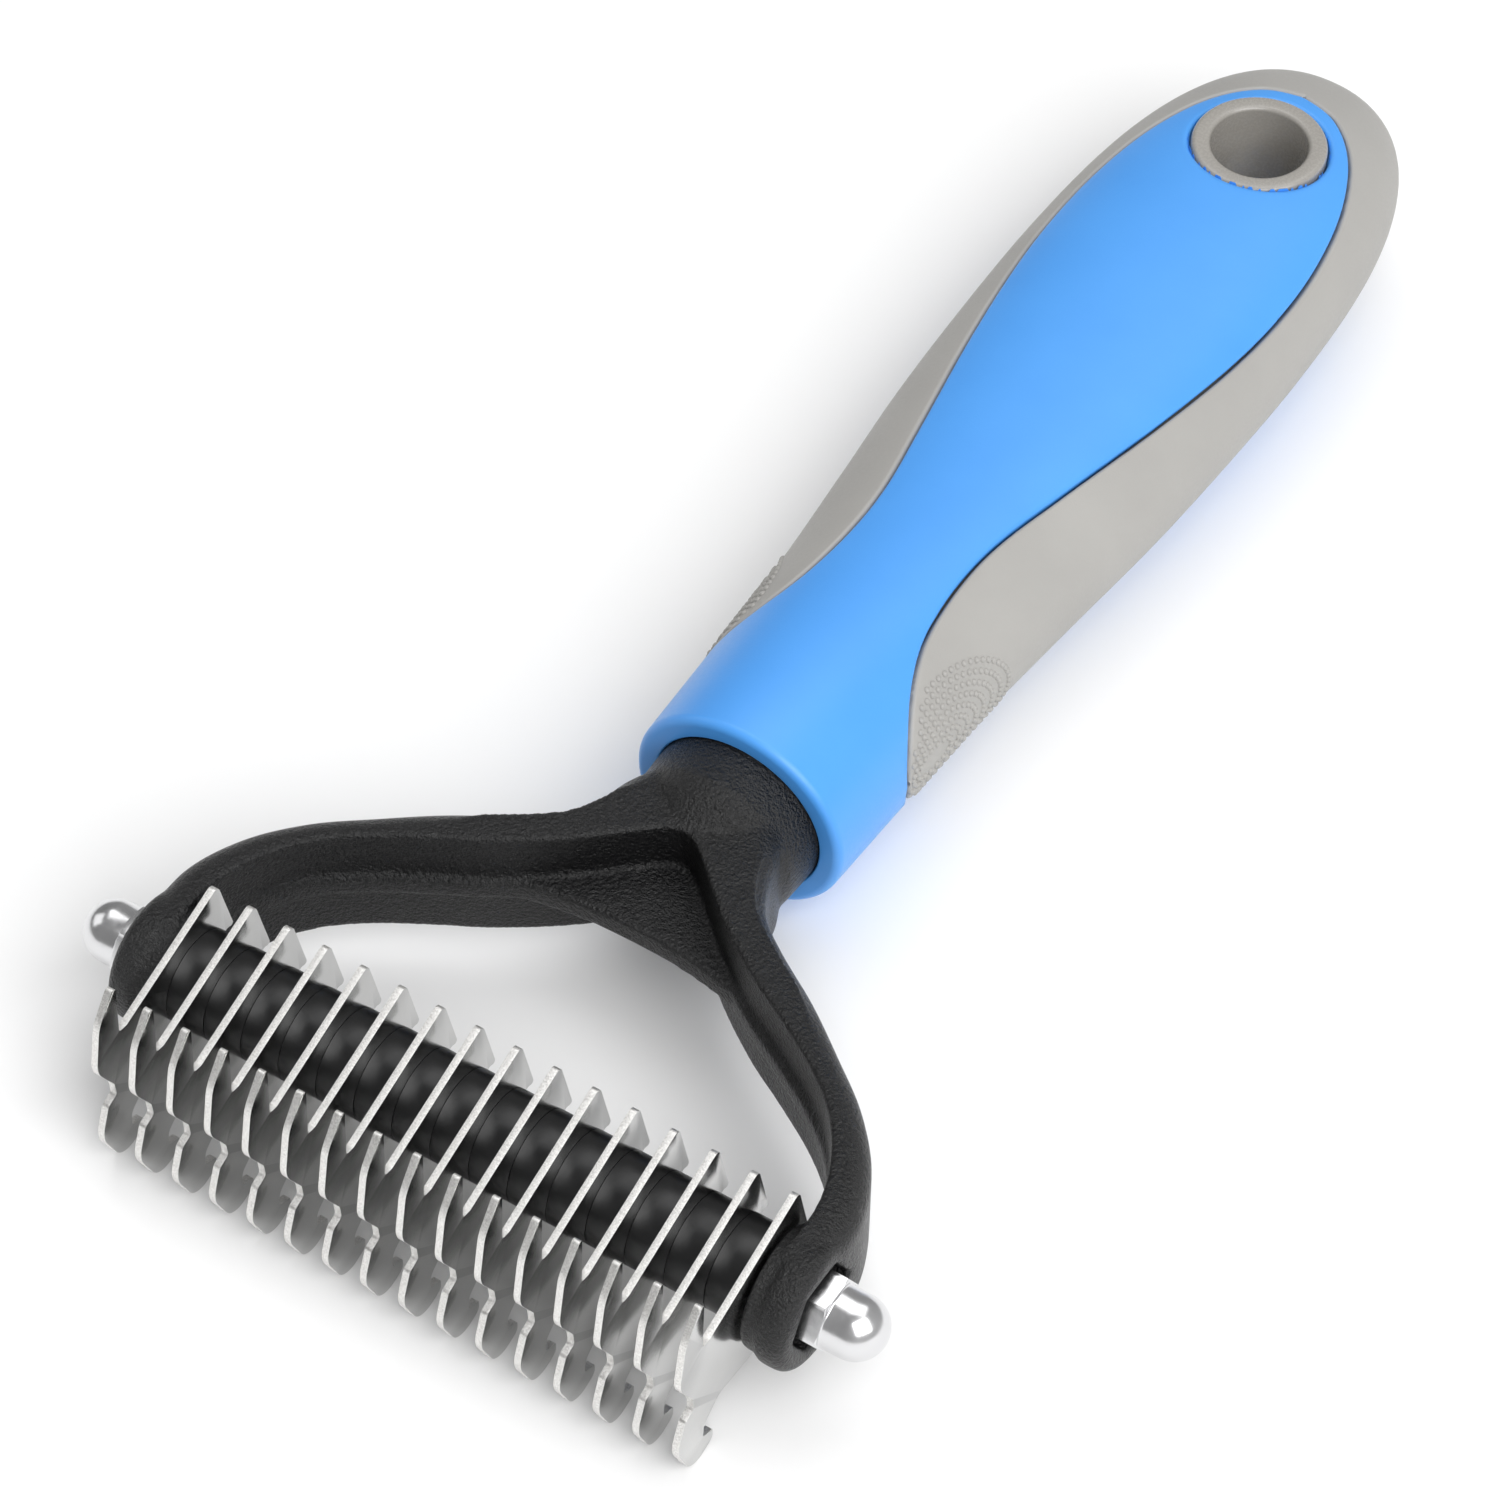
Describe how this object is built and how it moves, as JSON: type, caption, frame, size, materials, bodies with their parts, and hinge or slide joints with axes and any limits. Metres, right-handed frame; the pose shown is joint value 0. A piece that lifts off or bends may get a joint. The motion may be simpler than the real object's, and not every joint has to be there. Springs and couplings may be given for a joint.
{
  "type": "deshedding tool",
  "caption": "Hand-held pet deshedding rake: a row of identical hooked steel blades on a rod across a black yoke, with a soft blue and grey handle that has a hanging hole.",
  "frame": {"origin": "middle of the tool's box in X and Y, at the level of its lowest point (the rear hooks of the blades) in Z", "axes": "+X along the blade rod toward the tool's right, +Y from the blades toward the hanging end of the handle, +Z out of the front face of the handle"},
  "size_m": [0.1038, 0.2102, 0.0287],
  "materials": {
    "yoke_black_nylon": "fine moulded grain, charcoal black",
    "spacer_gloss_black": "glossy black",
    "blade_stainless": "polished stainless with brighter stamped edges",
    "rod_steel": "plain steel",
    "nut_chrome": "polished chrome plate",
    "shell_blue": "soft satin sky blue",
    "grip_grey": "soft matte warm grey",
    "ring_grey": "glossy warm grey",
    "core_grey": "plain moulded, hidden"
  },
  "bodies": {
    "handle_and_yoke": {"yoke": "yoke_black_nylon", "handle_core": "core_grey", "handle_shell": "shell_blue", "grip_band": "grip_grey", "hang_ring": "ring_grey"},
    "blade_set": {"axle_rod": "rod_steel", "blade_01": "blade_stainless", "blade_02": "blade_stainless", "blade_03": "blade_stainless", "blade_04": "blade_stainless", "blade_05": "blade_stainless", "blade_06": "blade_stainless", "blade_07": "blade_stainless", "blade_08": "blade_stainless", "blade_09": "blade_stainless", "blade_10": "blade_stainless", "blade_11": "blade_stainless", "blade_12": "blade_stainless", "blade_13": "blade_stainless", "blade_14": "blade_stainless", "blade_15": "blade_stainless", "blade_16": "blade_stainless", "spacer_01": "spacer_gloss_black", "spacer_02": "spacer_gloss_black", "spacer_03": "spacer_gloss_black", "spacer_04": "spacer_gloss_black", "spacer_05": "spacer_gloss_black", "spacer_06": "spacer_gloss_black", "spacer_07": "spacer_gloss_black", "spacer_08": "spacer_gloss_black", "spacer_09": "spacer_gloss_black", "spacer_10": "spacer_gloss_black", "spacer_11": "spacer_gloss_black", "spacer_12": "spacer_gloss_black", "spacer_13": "spacer_gloss_black", "spacer_14": "spacer_gloss_black", "spacer_15": "spacer_gloss_black"},
    "left_nut": {"nut_left": "nut_chrome"},
    "right_nut": {"nut_right": "nut_chrome"}
  },
  "joints": [
    {"name": "blade_set_turn", "type": "hinge", "parent": "handle_and_yoke", "child": "blade_set", "pos_m": [0, -0.08691, 0.01521], "axis": [1, 0, 0], "range_deg": [-30, 80]},
    {"name": "left_nut_turn", "type": "hinge", "parent": "handle_and_yoke", "child": "left_nut", "pos_m": [-0.0459, -0.08691, 0.01521], "axis": [-1, 0, 0], "continuous": true},
    {"name": "right_nut_turn", "type": "hinge", "parent": "handle_and_yoke", "child": "right_nut", "pos_m": [0.0459, -0.08691, 0.01521], "axis": [1, 0, 0], "continuous": true}
  ]
}
